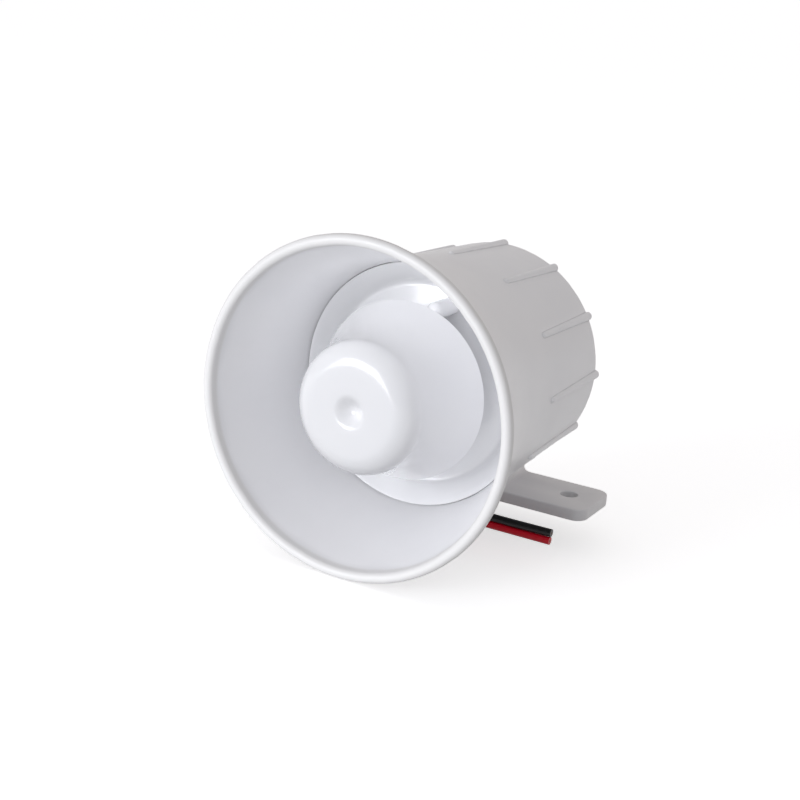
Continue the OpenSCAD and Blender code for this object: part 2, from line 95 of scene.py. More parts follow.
LEAD_D = 2.2
OUTLET_RIGHT = 8
GROMMET_FLANGE = 1
BLACK_ROUTE = [
    (4, -21.2, -1), (8, -21.2, -1), (12, -21.2, -1), (16, -21.2, -1), (20, -21.2, -1), (24, -21.2, -1),
    (28, -21.2, -1), (32, -21.1, -1), (36, -21.0, -1), (39.8, -20.9, -1)
]
RED_ROUTE = [
    (4, -21.2, -3.25), (8, -21.2, -3.25), (12, -21.2, -3.25), (16, -21.2, -3.25), (20, -21.2, -3.25),
    (24, -21.2, -3.25), (28, -21.2, -3.25), (32, -21.2, -3.25), (36, -21.2, -3.25), (39.7, -21.2, -3.25)
]


def make_lead(name, route, node, slot):
    """One flying lead: a round curve along the CAD route, with its copper strands at the cut end."""
    line = bpy.data.curves.new(name, "CURVE")
    line.dimensions = "3D"
    line.bevel_depth = LEAD_D / 2 * MM
    line.bevel_resolution = 7
    line.use_fill_caps = True
    spline = line.splines.new("POLY")
    spline.points.add(len(route) - 1)
    for point, place in zip(spline.points, route):
        point.co = (*(Vector(place) * MM), 1)
    spline.use_smooth = True
    lead = bpy.data.objects.new(name, line)
    bpy.context.scene.collection.objects.link(lead)
    line.materials.append(LOOKS[slot])
    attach(lead, FIXED)
    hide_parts(node)
    core = make_strands(name + "_core", Vector(route[-1]))
    exit_at = Vector(route[0])
    exit_at.x = OUTLET_RIGHT + GROMMET_FLANGE


def make_strands(name, end):
    """The copper strands that show in the cut end of a lead: one in the middle, six round it."""
    strand_r, length, middle = 0.13, 1.2, -0.58
    ring_r = 2.05 * strand_r
    spots = [(0, 0)] + [(ring_r * cos(k * pi / 3), ring_r * sin(k * pi / 3)) for k in range(6)]
    shape = bmesh.new()
    for y, z in spots:
        made = bmesh.ops.create_cone(shape, cap_ends=True, segments=12, radius1=strand_r * MM,
                                     radius2=strand_r * 0.8 * MM, depth=length * MM)
        place = Matrix.Translation((end + Vector((middle, y, z))) * MM) @ Matrix.Rotation(pi / 2, 4, "Y")
        bmesh.ops.transform(shape, matrix=place, verts=made["verts"])
    return add_piece(name, shape, LOOKS["copper_cut"])


# ---------------------------------------------------------------- materials

class Surface:
    """A node material. Its colour, roughness and relief are textures in the piece's own space."""

    def __init__(self, name, metallic=0.0, coat=0.0):
        self.material = bpy.data.materials.new(name)
        self.material.use_nodes = True
        self.nodes = self.material.node_tree.nodes
        self.links = self.material.node_tree.links
        self.shader = self.nodes["Principled BSDF"]
        self.shader.inputs["Metallic"].default_value = metallic
        self.shader.inputs["Coat Weight"].default_value = coat
        self.shader.inputs["Coat Roughness"].default_value = 0.2
        self.shader.inputs["IOR"].default_value = 1.5
        self.place = self.nodes.new("ShaderNodeTexCoord").outputs["Object"]
        self.normal = None

    def noise(self, size, detail=3.0, roughness=0.5, stretch=(1, 1, 1)):
        """Noise with features of about that size in millimetres, from 0 to 1."""
        node = self.nodes.new("ShaderNodeTexNoise")
        node.inputs["Scale"].default_value = 1 / (size * MM)
        node.inputs["Detail"].default_value = detail
        node.inputs["Roughness"].default_value = roughness
        self.links.new(self.stretched(stretch), node.inputs["Vector"])
        return node.outputs["Fac"]

    def stretched(self, stretch):
        """The piece's own space, scaled along its axes."""
        if tuple(stretch) == (1, 1, 1):
            return self.place
        node = self.nodes.new("ShaderNodeMapping")
        node.inputs["Scale"].default_value = stretch
        self.links.new(self.place, node.inputs["Vector"])
        return node.outputs["Vector"]

    def cells(self, size, feature="F1"):
        """Distance to the nearest point of a random pattern with that spacing in millimetres."""
        node = self.nodes.new("ShaderNodeTexVoronoi")
        node.feature = feature
        node.inputs["Scale"].default_value = 1 / (size * MM)
        self.links.new(self.place, node.inputs["Vector"])
        return node.outputs["Distance"]

    def bands(self, pitch, axis):
        """Even waves with that pitch in millimetres along an axis."""
        node = self.nodes.new("ShaderNodeTexWave")
        node.wave_type = "BANDS"
        node.bands_direction = axis
        node.inputs["Scale"].default_value = 2 * pi / (20 * pitch * MM)
        self.links.new(self.place, node.inputs["Vector"])
        return node.outputs["Fac"]

    def pointed(self, none, full):
        """0 to 1 as the surface's pointiness, 0.5 where it is flat, goes between two values."""
        node = self.nodes.new("ShaderNodeNewGeometry")
        return self.ranged(node.outputs["Pointiness"], none, full, 0, 1)

    def edges(self):
        """1 on worn outer edges, 0 elsewhere."""
        return self.pointed(0.53, 0.62)

    def painted_shade_in_corners(self):
        """1 in tight inner corners, where the colour is darkened as painted shade, 0 elsewhere."""
        return self.pointed(0.495, 0.455)

    def front(self, depth, fade):
        """1 up to that depth in millimetres behind the mouth, then fading to 0 over the next stretch."""
        node = self.nodes.new("ShaderNodeSeparateXYZ")
        self.links.new(self.place, node.inputs["Vector"])
        start = (MOUTH_Y + depth) * MM
        return self.ranged(node.outputs["Y"], start, start + fade * MM, 1, 0)

    def ranged(self, value, low, high, to_low, to_high):
        """The value with one range stretched to another, and held inside it."""
        node = self.nodes.new("ShaderNodeMapRange")
        keys = ("From Min", "From Max", "To Min", "To Max")
        for key, number in zip(keys, (low, high, to_low, to_high)):
            node.inputs[key].default_value = number
        self.links.new(value, node.inputs["Value"])
        return node.outputs["Result"]

    def mixed(self, share, first, second):
        """A colour between two colours or colour outputs, by a share from 0 to 1."""
        node = self.nodes.new("ShaderNodeMix")
        node.data_type = "RGBA"
        self.links.new(share, node.inputs["Factor"])
        for socket, colour in ((node.inputs[6], first), (node.inputs[7], second)):
            if isinstance(colour, tuple):
                socket.default_value = (*colour, 1)
            else:
                self.links.new(colour, socket)
        return node.outputs[2]

    def colour(self, output):
        self.links.new(output, self.shader.inputs["Base Color"])

    def rough(self, value, low, high):
        """Roughness between two values as a texture goes from 0.3 to 0.7, the range that noise fills."""
        self.links.new(self.ranged(value, 0.3, 0.7, low, high), self.shader.inputs["Roughness"])

    def relief(self, height, depth, strength):
        """Adds a bump of that depth in millimetres on top of the ones before it."""
        node = self.nodes.new("ShaderNodeBump")
        node.inputs["Distance"].default_value = depth * MM
        node.inputs["Strength"].default_value = strength
        self.links.new(height, node.inputs["Height"])
        if self.normal is not None:
            self.links.new(self.normal, node.inputs["Normal"])
        self.normal = node.outputs["Normal"]
        self.links.new(self.normal, self.shader.inputs["Normal"])


# Painted shade on the rim bead: how far behind the mouth its darker colour reaches, and over how much it
# fades out.
BEAD_PAINTED_SHADE_DEPTH = 2.2
BEAD_PAINTED_SHADE_FADE = 1.0


def moulded(name, colour, shade, roughness, grain=0.012, coat=0.0, bead=None):
    """Moulded plastic: a little flow shading, a fine spark grain and long soft waves.

    With a bead colour it is the horn shell's plastic with painted shade: the rim bead's front is painted
    in that darker colour, and the inner corners along the ribs are painted darker.
    """
    low, high = roughness
    skin = Surface(name, coat=coat)
    flow = skin.ranged(skin.noise(22, 2), 0.35, 0.65, 0, 1)
    body = skin.mixed(flow, colour, shade)
    specks = skin.ranged(skin.noise(0.5, 4, 0.6), 0.66, 0.78, 0, 0.35)
    body = skin.mixed(specks, body, tuple(0.75 * c for c in shade))
    body = skin.mixed(skin.edges(), body, tuple(min(1, 1.06 * c) for c in colour))
    if bead:
        # Painted shade: the colour is darkened in the tight inner corners along the ribs.
        body = skin.mixed(skin.painted_shade_in_corners(), body, tuple(0.75 * c for c in shade))
        # Painted shade: the front of the rim bead takes the darker bead colour.
        body = skin.mixed(skin.front(BEAD_PAINTED_SHADE_DEPTH, BEAD_PAINTED_SHADE_FADE), body, bead)
    skin.colour(body)
    skin.rough(skin.noise(3.5, 5, 0.6), low, high)
    skin.relief(skin.noise(14, 1.5), 0.05, 0.6)
    skin.relief(skin.noise(0.9, 3), grain, 0.8)
    return skin.material


def metal(name, colour, shade, roughness):
    """Bare or plated metal with a fine grain, small pits and duller patches."""
    low, high = roughness
    skin = Surface(name, metallic=1.0)
    skin.colour(skin.mixed(skin.ranged(skin.noise(4, 4), 0.35, 0.65, 0, 1), colour, shade))
    skin.rough(skin.noise(1.2, 6, 0.65), low, high)
    skin.relief(skin.noise(0.25, 4, 0.6), 0.01, 0.6)
    skin.relief(skin.cells(0.9), 0.012, 0.3)
    return skin.material


def foam(name, colour):
    """Closed-cell foam: small cells, matt."""
    skin = Surface(name)
    skin.colour(skin.mixed(skin.cells(0.4), colour, tuple(1.8 * c for c in colour)))
    skin.rough(skin.noise(0.6), 0.75, 0.95)
    skin.relief(skin.cells(0.4), 0.12, 0.8)
    return skin.material


def woven(name, colour, shade, pitch):
    """Resin-bonded cloth: a plain weave showing through varnish."""
    skin = Surface(name, coat=0.25)
    across = skin.bands(pitch, "X")
    along = skin.bands(pitch, "Z")
    skin.colour(skin.mixed(across, skin.mixed(along, colour, shade), shade))
    skin.rough(skin.noise(0.8), 0.4, 0.6)
    skin.relief(across, 0.05, 0.5)
    skin.relief(along, 0.05, 0.5)
    return skin.material


def wound(name, colour, shade, pitch):
    """Enamelled winding: turns side by side along the horn's axis."""
    skin = Surface(name, metallic=1.0, coat=0.5)
    turns = skin.bands(pitch, "Y")
    skin.colour(skin.mixed(turns, shade, colour))
    skin.rough(skin.noise(0.5), 0.22, 0.4)
    skin.relief(turns, 0.08, 1.0)
    return skin.material


def insulation(name, colour, shade):
    """Extruded PVC: satin, with faint die lines along it and a few rubbed spots."""
    skin = Surface(name, coat=0.08)
    skin.shader.inputs["Specular IOR Level"].default_value = 0.25
    rubbed = skin.ranged(skin.noise(2.2, 5, 0.65), 0.52, 0.72, 0, 1)
    skin.colour(skin.mixed(rubbed, colour, shade))
    skin.rough(skin.noise(1.4, 4), 0.28, 0.45)
    skin.relief(skin.noise(0.5, 3, 0.5, (0.05, 1, 1)), 0.02, 0.5)
    skin.relief(skin.noise(6, 1), 0.06, 0.5)
    return skin.material


def solder_mask(name, colour, shade, trace):
    """Circuit board: mask over a network of tracks that stand a little proud."""
    skin = Surface(name, coat=0.35)
    tracks = skin.ranged(skin.cells(2.4, "DISTANCE_TO_EDGE"), 0.02, 0.12, 1, 0)
    ground = skin.mixed(skin.ranged(skin.noise(5), 0.35, 0.65, 0, 1), colour, shade)
    skin.colour(skin.mixed(tracks, ground, trace))
    skin.rough(skin.noise(1.5), 0.28, 0.42)
    skin.relief(tracks, 0.04, 0.8)
    return skin.material


def banded(name, colour, shade, bands):
    """Lacquered axial resistor with colour bands across it."""
    skin = Surface(name, coat=0.3)
    ground = skin.mixed(skin.ranged(skin.noise(1.5), 0.35, 0.65, 0, 1), colour, shade)
    stripes = skin.ranged(skin.bands(1.5, "X"), 0.62, 0.7, 0, 1)
    tint = skin.mixed(skin.ranged(skin.noise(1.3, 0), 0.45, 0.55, 0, 1), *bands)
    skin.colour(skin.mixed(stripes, ground, tint))
    skin.rough(skin.noise(0.8), 0.35, 0.5)
    skin.relief(skin.noise(0.9), 0.03, 0.5)
    return skin.material


def make_looks():
    """The node material of every slot in the record, and a few variants for single pieces."""
    return {
        # The shell's plastic, with painted shade in its bead colour and in its inner corners.
        "abs_white": moulded("abs_white", (0.895, 0.89, 0.9), (0.875, 0.872, 0.885), (0.32, 0.44),
                             bead=(0.76, 0.75, 0.74)),
        # A darker copy of the shell's white plastic for the foot and its block: painted shade, where they
        # sit under the barrel.
        "abs_foot_painted_shade": moulded("abs_foot_painted_shade", (0.735, 0.72, 0.72), (0.71, 0.7, 0.705), (0.32, 0.44)),
        "abs_gloss": moulded("abs_gloss", (0.94, 0.94, 0.95), (0.925, 0.925, 0.94), (0.13, 0.22),
                             grain=0.01, coat=0.9),
        "foam": foam("foam", (0.035, 0.035, 0.037)),
        "steel": metal("steel", (0.62, 0.62, 0.63), (0.5, 0.51, 0.53), (0.24, 0.42)),
        "ferrite": metal("ferrite", (0.09, 0.09, 0.1), (0.06, 0.06, 0.065), (0.55, 0.75)),
        "frame_black": moulded("frame_black", (0.03, 0.03, 0.032), (0.04, 0.04, 0.04), (0.45, 0.6),
                               grain=0.03),
        "phenolic": woven("phenolic", (0.36, 0.19, 0.08), (0.27, 0.13, 0.05), 0.45),
        "copper_cut": metal("copper_cut", (0.2, 0.1, 0.06), (0.11, 0.06, 0.04), (0.5, 0.65)),
        "copper": wound("copper", (0.75, 0.36, 0.18), (0.45, 0.18, 0.08), 0.22),
        "tinned": metal("tinned", (0.72, 0.71, 0.68), (0.6, 0.59, 0.55), (0.25, 0.45)),
        "board_green": solder_mask("board_green", (0.01, 0.12, 0.045), (0.008, 0.09, 0.035),
                                   (0.03, 0.2, 0.08)),
        "epoxy_black": moulded("epoxy_black", (0.022, 0.022, 0.024), (0.03, 0.03, 0.032), (0.5, 0.65),
                               grain=0.03),
        "capacitor_blue": moulded("capacitor_blue", (0.015, 0.03, 0.12), (0.02, 0.035, 0.15), (0.2, 0.3)),
        "resistor_tan": banded("resistor_tan", (0.55, 0.4, 0.22), (0.48, 0.34, 0.18),
                               ((0.25, 0.03, 0.02), (0.04, 0.02, 0.015))),
        "rubber_black": moulded("rubber_black", (0.02, 0.02, 0.02), (0.028, 0.028, 0.028), (0.5, 0.7),
                                grain=0.03),
        "nylon": moulded("nylon", (0.7, 0.68, 0.6), (0.66, 0.64, 0.55), (0.35, 0.5)),
        "pvc_black": insulation("pvc_black", (0.0015, 0.0015, 0.002), (0.004, 0.004, 0.0045)),
        "pvc_red": insulation("pvc_red", (0.6, 0.0, 0.014), (0.68, 0.003, 0.02)),
    }


# ---------------------------------------------------------------- mesh helpers

def add_piece(name, shape, material, sharp=35):
    """Turns a bmesh in metres into a smooth-shaded piece that rides on the fixed body.

    Edges that turn by more than sharp degrees stay sharp.
    """
    bmesh.ops.recalc_face_normals(shape, faces=shape.faces)
    mesh = bpy.data.meshes.new(name)
    shape.to_mesh(mesh)
    shape.free()
    mesh.shade_smooth()
    mesh.set_sharp_from_angle(angle=radians(sharp))
    mesh.materials.append(material)
    piece = bpy.data.objects.new(name, mesh)
    bpy.context.scene.collection.objects.link(piece)
    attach(piece, FIXED)
    return piece


def arc(centre, radius, start, end, steps):
    """[radius, depth] points of an arc, angles in degrees from the outward radius towards the back."""
    turns = [radians(start + (end - start) * k / steps) for k in range(steps + 1)]
    return [(centre[0] + radius * cos(t), centre[1] + radius * sin(t)) for t in turns]


def rounded(corners, radii, steps):
    """A polyline of [radius, depth] corners with each inner corner rounded to its radius."""
    points = [corners[0]]
    for before, corner, after, radius in zip(corners, corners[1:], corners[2:], radii):
        if radius == 0:
            points.append(corner)
            continue
        a = (Vector(before) - Vector(corner)).normalized()
        b = (Vector(after) - Vector(corner)).normalized()
        half = a.angle(b) / 2
        start = Vector(corner) + a * radius / tan(half)
        end = Vector(corner) + b * radius / tan(half)
        centre = Vector(corner) + (a + b).normalized() * radius / sin(half)
        for k in range(steps + 1):
            chord = start.lerp(end, k / steps)
            points.append(tuple(centre + (chord - centre).normalized() * radius))
    points.append(corners[-1])
    return points


def soft_max(a, b, blend):
    """The larger of two heights, with a fillet of about that size where they meet."""
    return (a + b + np.sqrt((a - b) ** 2 + blend ** 2)) / 2


def even_angles(count):
    return [2 * pi * k / count for k in range(count)]


def turned(shape, profile, angles, closed=True, bump=None):
    """Revolves a profile round the horn's axis into a bmesh. bump(angle, radius, depth) adds radius."""
    rows = []
    for radius, depth in profile:
        if radius < 1e-6:
            rows.append([shape.verts.new(Vector((0, MOUTH_Y + depth, AXIS_Z)) * MM)])
            continue
        reach = [radius + (bump(a, radius, depth) if bump else 0) for a in angles]
        rows.append([shape.verts.new(Vector((r * cos(a), MOUTH_Y + depth, AXIS_Z + r * sin(a))) * MM)
                     for a, r in zip(angles, reach)])
    pairs = list(zip(rows, rows[1:]))
    if closed:
        pairs.append((rows[-1], rows[0]))
    count = len(angles)
    for first, second in pairs:
        for k in range(count):
            corners = [first[k % len(first)], first[(k + 1) % len(first)],
                       second[(k + 1) % len(second)], second[k % len(second)]]
            shape.faces.new(list(dict.fromkeys(corners)))


# ---------------------------------------------------------------- horn shell

WALL = 2.2
RIM_WALL = 1.5
BEAD_R = 1.5
SEAM_DEPTH = 34.5
POCKET_DEPTH = 39.5
FLARE_DEPTH = 55
BACK_R = 32.75
TAPER = 0.04
BEAD_PROUD = 0.7
FLARE_RISE = RIM_R - BEAD_PROUD - BACK_R - TAPER * DEPTH
RIB_COUNT = 12
RIB_START = 49.5
REAR_EDGE = 0.6
RIB_FILLET = 0.16
# Distances from a rib's middle to the shell's columns beside it
RIB_COLUMNS = (0, 0.25, 0.5, 0.68, 0.82, 0.93, 1.02, 1.1, 1.17, 1.25, 1.4, 1.7, 2.3, 3.3, 4.9, 6.7)
# Rows round the start of the ribs, as distances from it
RIB_ROWS = (-1.2, -0.8, -0.4, 0, 0.4, 0.8, 1.3, 2, 3, 4.5)


def outer_r(depth):
    """Radius of the flare's and the barrel's outside."""
    return BACK_R + TAPER * (DEPTH - depth) + FLARE_RISE * max(0, 1 - depth / FLARE_DEPTH) ** 2


def inner_r(depth):
    """Radius of the flare's inside, down to the dish."""
    return outer_r(depth) - RIM_WALL - (WALL - RIM_WALL) * depth / SEAM_DEPTH


def shell_outside():
    """From the bead's inner side over its front, down the flare and the barrel to the rear edge."""
    bead_middle, neck_step, neck_fillet = RIM_R - BEAD_R, 0.3, 0.5
    front = arc((bead_middle, BEAD_R), BEAD_R, -180, 0, 16)
    neck = []
    for k in range(1, 13):
        depth = BEAD_R + k * neck_step
        bead = bead_middle + sqrt(max(BEAD_R ** 2 - (depth - BEAD_R) ** 2, 0))
        if depth > 2 * BEAD_R:
            bead -= 2  # behind the bead only the flare counts
        neck.append((float(soft_max(bead, outer_r(depth), neck_fillet)), depth))
    flare = np.linspace(neck[-1][1] + 4 * neck_step, RIB_START - 2, 26)
    ribbed = RIB_START + np.array(RIB_ROWS)
    barrel = np.linspace(RIB_START + 6.5, DEPTH - 1.6, 14)
    sides = [(outer_r(d), d) for d in np.concatenate([flare, ribbed, barrel])]
    rear = arc((outer_r(DEPTH) - REAR_EDGE, DEPTH - REAR_EDGE), REAR_EDGE, 0, 90, 5)
    return front + neck + sides + rear


def shell_inside():
    """From the rear opening over the cover's shoulder and the bore to the flare's inside."""
    cover_r, cover_seat, chamfer = 31.15, 80.7, 0.35
    ledge_r, ledge_end = 29.7, 78.7
    bore_r, bore_end, bore_front_r = 30.4, 77.7, 31.6
    corners = [(cover_r, DEPTH), (cover_r, cover_seat), (ledge_r, cover_seat), (ledge_r, ledge_end),
               (bore_r, bore_end), (bore_front_r, POCKET_DEPTH), (inner_r(SEAM_DEPTH), POCKET_DEPTH)]
    rear = rounded(corners, radii=[0.2, 0.2, 0.3, 0, 0.3], steps=2)
    rear[:1] = [(cover_r + chamfer, DEPTH), (cover_r, DEPTH - chamfer)]
    return rear + [(inner_r(d), d) for d in np.linspace(SEAM_DEPTH, 2 * BEAD_R + 0.2, 26)]


def rib_bump(angle, radius, depth):
    """Height of the nearest rib over the barrel: a rounded ridge that rises towards the rear edge."""
    if depth < RIB_START - 2 or radius < outer_r(depth) - REAR_EDGE - 0.02:
        return 0
    pitch = 2 * pi / RIB_COUNT
    away = abs((angle + pitch / 2) % pitch - pitch / 2) * radius
    along = min(1, max(0, (depth - RIB_START) / (DEPTH - RIB_START)))
    half_w = 0.8 + 0.4 * along
    lift = -0.1 + 0.2 * along
    ahead = max(0, RIB_START + 0.6 - depth)
    inside = half_w ** 2 - away ** 2 - ahead ** 2
    ridge = lift + sqrt(inside) if inside > 0 else lift - 1.2 * sqrt(-inside)
    return float(soft_max(ridge, 0, RIB_FILLET)) - RIB_FILLET ** 2 / 4


def rib_angles():
    """Angles of the shell's columns: close together over each rib and its fillets."""
    near = np.array(RIB_COLUMNS)
    offsets = np.concatenate([-near[:0:-1], near]) / BACK_R
    pitch = 2 * pi / RIB_COUNT
    return sorted(float(i * pitch + o) for i in range(RIB_COUNT) for o in offsets)


def make_shell():
    shape = bmesh.new()
    turned(shape, shell_outside() + shell_inside(), rib_angles(), bump=rib_bump)
    shell = add_piece("horn_shell_skin", shape, LOOKS["abs_white"], sharp=38)
    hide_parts("horn_shell")


# ---------------------------------------------------------------- foot and cable outlet

FOOT_W = 89
FOOT_FRONT = -11
FOOT_BACK = 10
FOOT_T = 3.4
FOOT_CORNER = 4
HOLE_SPACING = 71
HOLE_R = 2.5
WEB_W = 34


def foot_outline(inset):
    """Top view of the plate, its corners rounded, drawn that far inside the plate's edge."""
    side, back, front = FOOT_W / 2 - FOOT_CORNER, FOOT_BACK - FOOT_CORNER, FOOT_FRONT + FOOT_CORNER
    radius, points = FOOT_CORNER - inset, []
    for x, y, start in ((side, back, 0), (-side, back, 90), (-side, front, 180), (side, front, 270)):
        turns = [radians(start + 9 * k) for k in range(11)]
        points += [(x + radius * cos(t), y + radius * sin(t)) for t in turns]
    return points


def hole_outline(x, grow):
    """Top view of a screw hole in the plate, drawn that far outside its wall."""
    return [(x + (HOLE_R + grow) * cos(t), (HOLE_R + grow) * sin(t)) for t in even_angles(40)]


def edge_rows(edge_r):
    """(inset, height) of the rows over the plate's edge, rounded below and above."""
    turns = [radians(22.5 * k) for k in range(5)]
    below = [(edge_r * (1 - sin(t)), edge_r * (1 - cos(t))) for t in turns]
    above = [(edge_r * (1 - cos(t)), FOOT_T - edge_r * (1 - sin(t))) for t in turns]
    return below + above


def loop_of(shape, points, z):
    return [shape.verts.new(Vector((x, y, z)) * MM) for x, y in points]


def bridge_all(shape, loops, ends=False):
    """Faces between each loop of vertices and the next, and over the first and the last if asked."""
    for first, second in zip(loops, loops[1:]):
        for k in range(len(first)):
            shape.faces.new([first[k - 1], first[k], second[k], second[k - 1]])
    if ends:
        shape.faces.new(loops[0])
        shape.faces.new(loops[-1])


def make_foot():
    """The plate with its two screw holes, all edges rounded, and the block that holds it."""
    shape = bmesh.new()
    walls = [[(foot_outline(inset), z) for inset, z in edge_rows(0.45)]]
    walls += [[(hole_outline(x, grow), z) for grow, z in edge_rows(0.3)]
              for x in (-HOLE_SPACING / 2, HOLE_SPACING / 2)]
    rims = []
    for wall in walls:
        loops = [loop_of(shape, points, z) for points, z in wall]
        bridge_all(shape, loops)
        rims.append((loops[0], loops[-1]))
    for loops in zip(*rims):
        verts = [v for loop in loops for v in loop]
        for corners in tessellate_polygon([[v.co for v in loop] for loop in loops]):
            shape.faces.new([verts[k] for k in corners])
    # The plate and its block take the darker copy of the shell's plastic, which is painted shade.
    add_piece("mounting_foot", shape, LOOKS["abs_foot_painted_shade"], sharp=30)
    make_web()


def make_web():
    """The block between the plate and the barrel, with a fillet along its foot on both sides."""
    fillet, low, high = 1.5, 1.2, 8.0
    side = [(WEB_W / 2 + fillet - fillet * sin(t), FOOT_T + fillet - fillet * cos(t))
            for t in (radians(15 * k) for k in range(7))]
    right = [(WEB_W / 2 + fillet, low)] + side + [(WEB_W / 2, high)]
    section = right + [(-x, z) for x, z in reversed(right)]
    shape = bmesh.new()
    # Each row is a section at a place along the plate, drawn in by its inset to round both ends
    rows = [(FOOT_FRONT + 0.1, 0.35), (FOOT_FRONT + 0.2, 0.12), (FOOT_FRONT + 0.45, 0),
            (FOOT_BACK - 0.45, 0), (FOOT_BACK - 0.2, 0.12), (FOOT_BACK - 0.1, 0.35)]
    loops = [[shape.verts.new(Vector((x - inset * (1 if x > 0 else -1), y, z)) * MM) for x, z in section]
             for y, inset in rows]
    bridge_all(shape, loops, ends=True)
    add_piece("foot_web", shape, LOOKS["abs_foot_painted_shade"], sharp=30)


def make_outlet():
    """Cable outlet under the barrel: a drafted box with round edges."""
    left, right, front, back, low, high = -7, OUTLET_RIGHT, -25.5, -16.9, -7, 6
    full_draft, edge_r = 0.35, 1.1
    shape = bmesh.new()
    bmesh.ops.create_cube(shape, size=1)
    for v in shape.verts:
        lower = v.co.z < 0
        draft = full_draft if lower else 0
        v.co = Vector((left + draft if v.co.x < 0 else right,
                       front + draft if v.co.y < 0 else back - draft,
                       low if lower else high)) * MM
    bmesh.ops.bevel(shape, geom=list(shape.edges), offset=edge_r * MM, segments=5, profile=0.5,
                    affect="EDGES")
    add_piece("cable_outlet", shape, LOOKS["abs_white"], sharp=50)


# ---------------------------------------------------------------- dish and bullet

DISH_BACK = POCKET_DEPTH - 0.8
TUBE_R = 10.5
BELL_R = 24.6
BELL_DEPTH = 27.9
BELL_WALL = 1.8
CAP_DEPTH = 1.0
LEG_ANGLES = (radians(73), radians(253))


def part_way(start, end, shares):
    """[radius, depth] points on the straight line between two, at those shares of its length."""
    return [(start[0] + (end[0] - start[0]) * s, start[1] + (end[1] - start[1]) * s) for s in shares]


def dish_front():
    """Front of the dish: lip, steep outer wall, round bottom and the shallow cone up to the tube."""
    rim_r = inner_r(SEAM_DEPTH) - 0.12
    lip_r, lip = 33.3, SEAM_DEPTH + 0.15
    wall_turn, cone_turn = radians(45), radians(12.5)
    bottom_r, bottom = 2.5, SEAM_DEPTH + 3
    wall_end = bottom + bottom_r * cos(wall_turn)
    wall_end_r = lip_r - (wall_end - lip) / tan(wall_turn)
    middle = wall_end_r - bottom_r * sin(wall_turn)
    edge = [(rim_r, DISH_BACK), (rim_r, lip + 0.3), (rim_r - 0.08, lip + 0.08),
            (rim_r - 0.2, lip - 0.02), (lip_r + 0.06, lip + 0.02)]
    wall = part_way((lip_r, lip), (wall_end_r, wall_end), (0.06, 0.3, 0.6, 0.9))
    valley = [(middle + bottom_r * cos(t), bottom + bottom_r * sin(t))
              for t in np.linspace(pi / 2 - wall_turn, pi / 2 + cone_turn, 12)]
    cone_r, cone = valley[-1]
    tube_root = cone - (cone_r - TUBE_R) * tan(cone_turn)
    slope = part_way(valley[-1], (TUBE_R + 1.2, tube_root), (0.1, 0.3, 0.5, 0.7, 0.9, 0.99))
    return edge + wall + valley + slope, tube_root


def make_dish():
    """Reflex dish with the throat tube in its middle. The throat widens from the driver to its mouth."""
    tip_r, tip = 8.6, 12.4
    throat_r, throat_end, mouth_r, mouth_start = 5, 45.6, 6.75, 13
    front, tube_root = dish_front()
    root = [(TUBE_R + 0.45, tube_root - 0.35), (TUBE_R + 0.08, tube_root - 1.1)]
    tube = part_way((TUBE_R, tube_root), (tip_r, tip), (0.1, 0.3, 0.6, 0.8, 0.97))
    mouth = arc((7.7, 12.6), 0.9, 0, -180, 8)
    throat = [(throat_r + (mouth_r - throat_r) * s ** 1.6, throat_end - (throat_end - mouth_start) * s)
              for s in (0.9, 0.6, 0.3, 0)]
    driver_seat = [(16.4, throat_end), (16.4, 46.6), (19, 46.6), (19, 48), (28.3, 48)]
    back = [(28.3, 44), (31.2, 41.7), (31.2, DISH_BACK)]
    shape = bmesh.new()
    profile = front + root + tube + mouth + throat + driver_seat + back
    turned(shape, profile, even_angles(144))
    dish = add_piece("throat_dish_skin", shape, LOOKS["abs_gloss"], sharp=40)
    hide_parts("throat_dish")


def bell_profile():
    """Outside of the bullet from the dimple over the cap to the bell's edge."""
    cap_r, cap_round, bend = 17.6, 6.0, 1.7
    dimple_r, dimple_depth = 4.8, 2.4
    dimple = [(dimple_r * s, CAP_DEPTH + dimple_depth * (1 + cos(pi * s)) / 2)
              for s in np.linspace(0, 1, 15)]
    flat_r, side_start = cap_r - cap_round, CAP_DEPTH + cap_round
    face = part_way((dimple_r, CAP_DEPTH), (flat_r, CAP_DEPTH), (0.3, 0.65))
    turn = [(flat_r + cap_round * sin(t), CAP_DEPTH + cap_round * (1 - cos(t)))
            for t in np.linspace(0, pi / 2, 14)]
    side = [(cap_r + (BELL_R - cap_r) * t ** bend, side_start + t * (BELL_DEPTH - side_start))
            for t in np.linspace(0.04, 0.985, 26)]
    return dimple + face + turn + side


def make_bullet():
    """The bullet reflector: a closed skin with a wall of even thickness, and its legs."""
    outside = bell_profile()
    edge = [(BELL_R - 0.1, BELL_DEPTH - 0.15), (BELL_R - 0.3, BELL_DEPTH), (BELL_R - 1.4, BELL_DEPTH),
            (BELL_R - BELL_WALL + 0.15, BELL_DEPTH - 0.2)]
    inside = [(r - BELL_WALL, d + (BELL_WALL if d < 3 else 0.4)) for r, d in reversed(outside)]
    inside = [(r, d) for r, d in inside if r > 7 and d < BELL_DEPTH - 0.7]
    floor = [(6.4, 2.9), (4.9, 5.0), (0, 5.1)]
    shape = bmesh.new()
    turned(shape, outside + edge + inside + floor, even_angles(144), closed=False)
    for angle in LEG_ANGLES:
        make_leg(shape, angle)
    bullet = add_piece("horn_bullet_skin", shape, LOOKS["abs_gloss"], sharp=40)
    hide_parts("horn_bullet")


